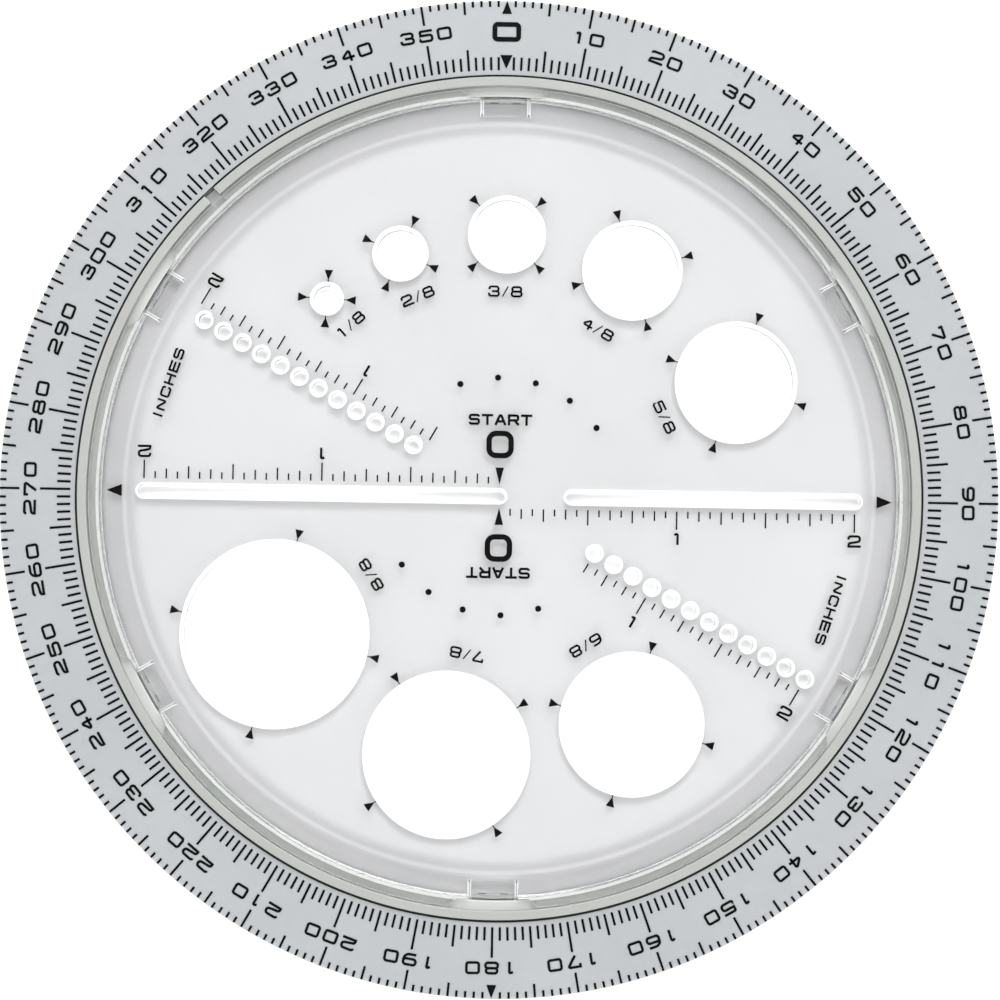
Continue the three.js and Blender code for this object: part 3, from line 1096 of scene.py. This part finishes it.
# protractor scale: ticks run in from the outer edge and out from the inner edge
OUTER_TICK_START = RING_RADIUS - 0.1
OUTER_TICK_ENDS = {1: 70.3, 5: 69.3, 10: 68.4}
INNER_TICK_START = 61.15
INNER_TICK_ENDS = {1: 63.05, 5: 64.2, 10: 65.46}
DEGREE_NUMBER_RADIUS = 66.9
DEGREE_ZERO_RADIUS = 66.7
POINTER_WIDTH = 1.75


def rank(degree):
    """The longest kind of tick that a degree takes."""
    return max(step for step in (1, 5, 10) if degree % step == 0)


def degree_ticks(start, ends, skipped):
    """A tick each degree, but for the skipped ones, from one radius to its rank's end."""
    degrees = [d for d in range(360) if d not in skipped]
    return [at_clock(bar(TICK_WIDTH, *sorted((start, ends[rank(d)]))), d) for d in degrees]


def degree_numbers():
    """The numbers at every tenth degree but zero."""
    face = Face(width=2.12, height=1.84, stroke=0.37, pitch=2.69)
    shapes = []
    for degree in range(10, 360, 10):
        point = clock_point(DEGREE_NUMBER_RADIUS, degree)
        shapes += face.text(str(degree), place(point, degree))
    return shapes


def zero_marks():
    """The large zero and its two pointers, and the pointer at 180."""
    big = Face(width=4.12, height=2.86, stroke=0.7, pitch=0)
    shapes = big.text("0", place((0, DEGREE_ZERO_RADIUS), 0))
    outer = pointer(1.4, OUTER_TICK_ENDS[5], OUTER_TICK_START)
    inner = pointer(POINTER_WIDTH, INNER_TICK_START + 2.2, INNER_TICK_START + 0.2)
    shapes += [outer, inner, at_clock(outer, 180)]
    return shapes


def print_ring():
    """All print on the protractor ring."""
    outer = degree_ticks(OUTER_TICK_START, OUTER_TICK_ENDS, (0, 180))
    inner = degree_ticks(INNER_TICK_START, INNER_TICK_ENDS, (0,))
    print_piece("degree_ticks_outer", outer, RING_TOP, "ring")
    print_piece("degree_ticks_inner", inner, RING_TOP, "ring")
    print_piece("degree_numbers", degree_numbers(), RING_TOP, "ring")
    print_piece("degree_zero_marks", zero_marks(), RING_TOP, "ring")


# inch scales: a tick each sixteenth of an inch, its length set by the fraction it marks
SIXTEENTHS = 16
INCH_TICK_WIDTH = 0.22
INCH_TICK_LENGTHS = {1: 1.0, 2: 1.42, 4: 1.8, 8: 2.2, SIXTEENTHS: 2.62}
INCH_NUMBER_GAP = 0.35
SLOT_SCALE_CLEARANCE = 1.78
ROW_SCALE_CLEARANCE = 1.75


def inch_scale(first, clearance):
    """Ticks below a line along +X, from a first sixteenth to two inches, with numbers."""
    height = 1.8
    face = Face(width=1.95, height=height, stroke=0.35, pitch=2.4)
    shapes = []
    for sixteenth in range(first, 2 * SIXTEENTHS + 1):
        step = max(s for s in INCH_TICK_LENGTHS if sixteenth % s == 0)
        length = INCH_TICK_LENGTHS[step]
        x = sixteenth / SIXTEENTHS * INCH
        tick = bar(INCH_TICK_WIDTH, -clearance - length, -clearance)
        shapes.append(moved(tick, Matrix.Translation((x, 0, 0))))
        if step == SIXTEENTHS:
            y = -clearance - length - INCH_NUMBER_GAP - height / 2
            shapes += face.text(str(sixteenth // SIXTEENTHS), place((x, y), 0))
    return shapes


def slot_scales():
    """The scales along the two slots."""
    return half_turn(inch_scale(1, SLOT_SCALE_CLEARANCE))


def row_scales():
    """The scales along the two rows of pencil holes, which start further out."""
    lower = inch_scale(10, ROW_SCALE_CLEARANCE)
    upper = inch_scale(8, ROW_SCALE_CLEARANCE)
    turned_lower = [at_clock(shape, LOWER_ROW["angle"] - 90) for shape in lower]
    turned_upper = [at_clock(shape, UPPER_ROW["angle"] - 90) for shape in upper]
    return turned_lower + turned_upper


# marks round a circle hole, as distances from its edge
MARK_WIDTH = 1.25
MARK_BASE = 2.3
MARK_TIP = 0.85
HAIRLINE_START = 0.6
HAIRLINE_END = 1.1
LABEL_CLEARANCE = 3.2


def hole_marks():
    """Four pointers with hairlines round each circle hole, and its size in eighths."""
    face = Face(width=1.72, height=1.64, stroke=0.31, pitch=1.63)
    shapes = []
    for size, degrees in HOLES:
        radius = hole_radius(size)
        centre = clock_point(HOLE_ORBIT, degrees)
        mark = [
            pointer(MARK_WIDTH, radius + MARK_BASE, radius + MARK_TIP),
            bar(HAIRLINE, radius + HAIRLINE_START, radius + HAIRLINE_END),
        ]
        for quarter in range(4):
            turned = place(centre, degrees + 45 + 90 * quarter)
            shapes += [moved(shape, turned) for shape in mark]
        label = clock_point(HOLE_ORBIT - radius - LABEL_CLEARANCE, degrees)
        shapes += face.text(f"{size}/8", place(label, degrees))
    return shapes


# marks by the middle of the disc and on its margin
START_ZERO_RADIUS = 7.4
START_WORD_RADIUS = 10.96
UNIT_RADIUS = 50.0
UNIT_ANGLE = 288
DOT_COUNT = 5
DOT_RADIUS = 0.45
DOT_ORBIT = 17.0
DOT_FIRST = -20
DOT_STEP = 18.5


def start_marks():
    """Arrow, large zero and word at the zero of the inch scales, and their opposites."""
    big = Face(width=3.93, height=3.96, stroke=0.78, pitch=0)
    small = Face(width=1.64, height=1.6, stroke=0.36, pitch=1.87)
    shapes = [pointer(1.22, 4.1, 1.65)]
    shapes += big.text("O", place((0, START_ZERO_RADIUS), 0))
    shapes += small.text("START", place((0, START_WORD_RADIUS), 0))
    return half_turn(shapes)


def unit_words():
    """The name of the scales' unit, near the long scales' ends."""
    face = Face(width=1.58, height=1.45, stroke=0.31, pitch=1.92)
    point = clock_point(UNIT_RADIUS, UNIT_ANGLE)
    return half_turn(face.text("INCHES", place(point, UNIT_ANGLE)))


def arc_dots():
    """A plain arc of dots on each side of the centre."""
    dots = []
    for i in range(DOT_COUNT):
        point = clock_point(DOT_ORBIT, DOT_FIRST + DOT_STEP * i)
        dots.append(moved(disc_dot(DOT_RADIUS), Matrix.Translation((*point, 0))))
    return half_turn(dots)


def angle_pointers():
    """Pointers on the margin at 90 and 270."""
    return half_turn([at_clock(pointer(POINTER_WIDTH, 53.95, 56.15), 90)])


def print_disc():
    """All print on the disc."""
    print_piece("slot_scales", slot_scales(), PLATE_TOP, "disc")
    print_piece("hole_row_scales", row_scales(), PLATE_TOP, "disc")
    print_piece("circle_hole_marks", hole_marks(), PLATE_TOP, "disc")
    print_piece("start_marks", start_marks(), PLATE_TOP, "disc")
    print_piece("unit_words", unit_words(), PLATE_TOP, "disc")
    print_piece("arc_dots", arc_dots(), PLATE_TOP, "disc")
    print_piece("angle_pointers", angle_pointers(), MARGIN_TOP, "disc")


# ---- stage, light and camera --------------------------------------------------------------------


def floor():
    """A wide sheet of white card under the object."""
    half, depth = 2000.0, 5.0
    obj = mesh_object("floor", prism(rectangle(-half, half, -half, half), -depth, 0.0))
    obj.data.transform(Matrix.Scale(MM, 4))
    obj.data.materials.append(white_paper())


def world_light(strength):
    """Even light from all round, a trace cool."""
    world = bpy.data.worlds.new("studio")
    world.use_nodes = True
    world.node_tree.nodes["Background"].inputs["Color"].default_value = (0.99, 0.995, 1.0, 1.0)
    world.node_tree.nodes["Background"].inputs["Strength"].default_value = strength
    bpy.context.scene.world = world


def area_light(name, clock, elevation, distance, size, power):
    """A square soft light that faces the object from a clock angle and elevation."""
    data = bpy.data.lights.new(name, "AREA")
    data.size = size
    data.energy = power
    light = bpy.data.objects.new(name, data)
    lift = math.radians(elevation)
    x, y = clock_point(math.cos(lift), clock)
    away = Vector((x, y, math.sin(lift)))
    light.location = away * distance
    light.rotation_euler = away.to_track_quat("Z", "Y").to_euler()
    bpy.context.scene.collection.objects.link(light)


def camera():
    """Straight above the object but for a small tilt and roll, at arm's length."""
    tilt, lean, roll = math.radians(-2.44), math.radians(0.115), math.radians(-0.93)
    distance = 0.4
    aim = Vector((0.00012, -0.00046, 0))
    turn = (
        Matrix.Rotation(roll, 3, "Z") @ Matrix.Rotation(tilt, 3, "X") @ Matrix.Rotation(lean, 3, "Y")
    )
    data = bpy.data.cameras.new("camera")
    data.sensor_width = 36.0
    data.lens = 100.3
    obj = bpy.data.objects.new("camera", data)
    obj.matrix_world = Matrix.Translation(aim + turn[2] * distance) @ turn.transposed().to_4x4()
    bpy.context.scene.collection.objects.link(obj)
    bpy.context.scene.camera = obj


protractor_ring()
bearing_ring()
template_disc()
print_ring()
print_disc()
floor()
world_light(1.6)
area_light("key", clock=10, elevation=47, distance=1.2, size=0.7, power=9.5)
camera()
bpy.context.scene.view_settings.view_transform = "Standard"
bpy.context.scene.cycles.blur_glossy = 0.0  # keeps the light that comes through clear plastic
